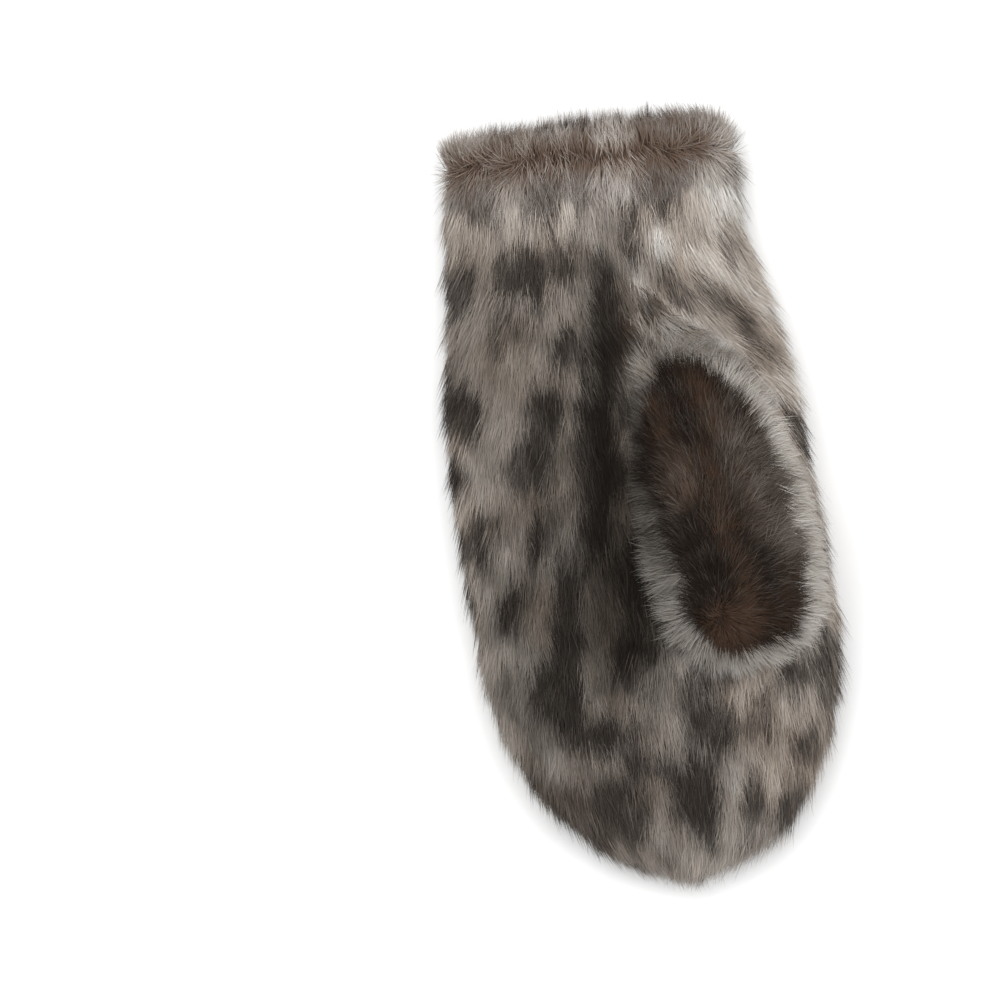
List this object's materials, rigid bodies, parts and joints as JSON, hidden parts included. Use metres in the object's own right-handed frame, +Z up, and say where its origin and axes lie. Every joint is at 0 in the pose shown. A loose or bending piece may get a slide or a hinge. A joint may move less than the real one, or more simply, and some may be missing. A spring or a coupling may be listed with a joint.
{
  "type": "fur mitten",
  "caption": "Long fur mitten for the left hand, palm up, with a turned cuff edge and a separate thumb topped by a darker oval panel.",
  "frame": {"origin": "on the surface the mitten lies on, under the middle of its bounding box", "axes": "+Z up, out of the palm, +Y from the fingertips to the cuff opening, +X towards the thumb's side"},
  "size_m": [0.1363, 0.2812, 0.0791],
  "materials": {
    "spotted_fur": "long grey fur with soft dark blotches",
    "cuff_fur": "fur with a brown base and light grey tips",
    "fringe_fur": "light grey fur",
    "dark_fur": "dark brown fur with warm streaks"
  },
  "bodies": {
    "root": {"back_panel": "spotted_fur", "palm_panel": "spotted_fur", "cuff_edge": "cuff_fur", "thumb_gusset": "fringe_fur", "thumb_front": "dark_fur"}
  },
  "joints": []
}
